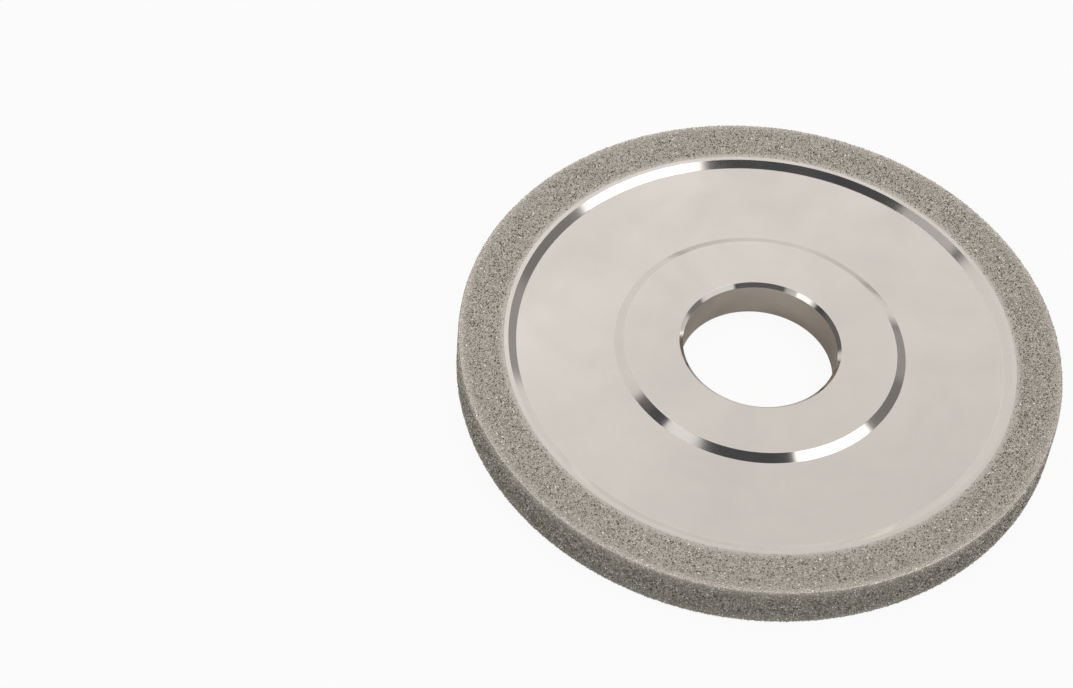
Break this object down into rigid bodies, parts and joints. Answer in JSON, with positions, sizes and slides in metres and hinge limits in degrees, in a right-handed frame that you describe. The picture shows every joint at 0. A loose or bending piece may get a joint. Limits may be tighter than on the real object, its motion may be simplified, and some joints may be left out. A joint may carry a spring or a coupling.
{
  "type": "diamond grinding wheel",
  "caption": "Flat aluminium-cored grinding wheel with a clamping boss round its bore, sunk webs on both sides and a diamond coat wrapped round the rim.",
  "frame": {"origin": "on the wheel's axis, in the plane of the lower abrasive face, which the wheel rests on", "axes": "+Z along the bore's axis, up; +X and +Y are any two radii at right angles, because the wheel is round"},
  "size_m": [0.125, 0.125, 0.01],
  "materials": {
    "turned_aluminium": "fine satin turned faces, polished chamfers",
    "nickel_diamond": "rough nickel bond speckled with exposed diamond grit"
  },
  "bodies": {
    "root": {"wheel_core": "turned_aluminium", "diamond_coat": "nickel_diamond"}
  },
  "joints": []
}
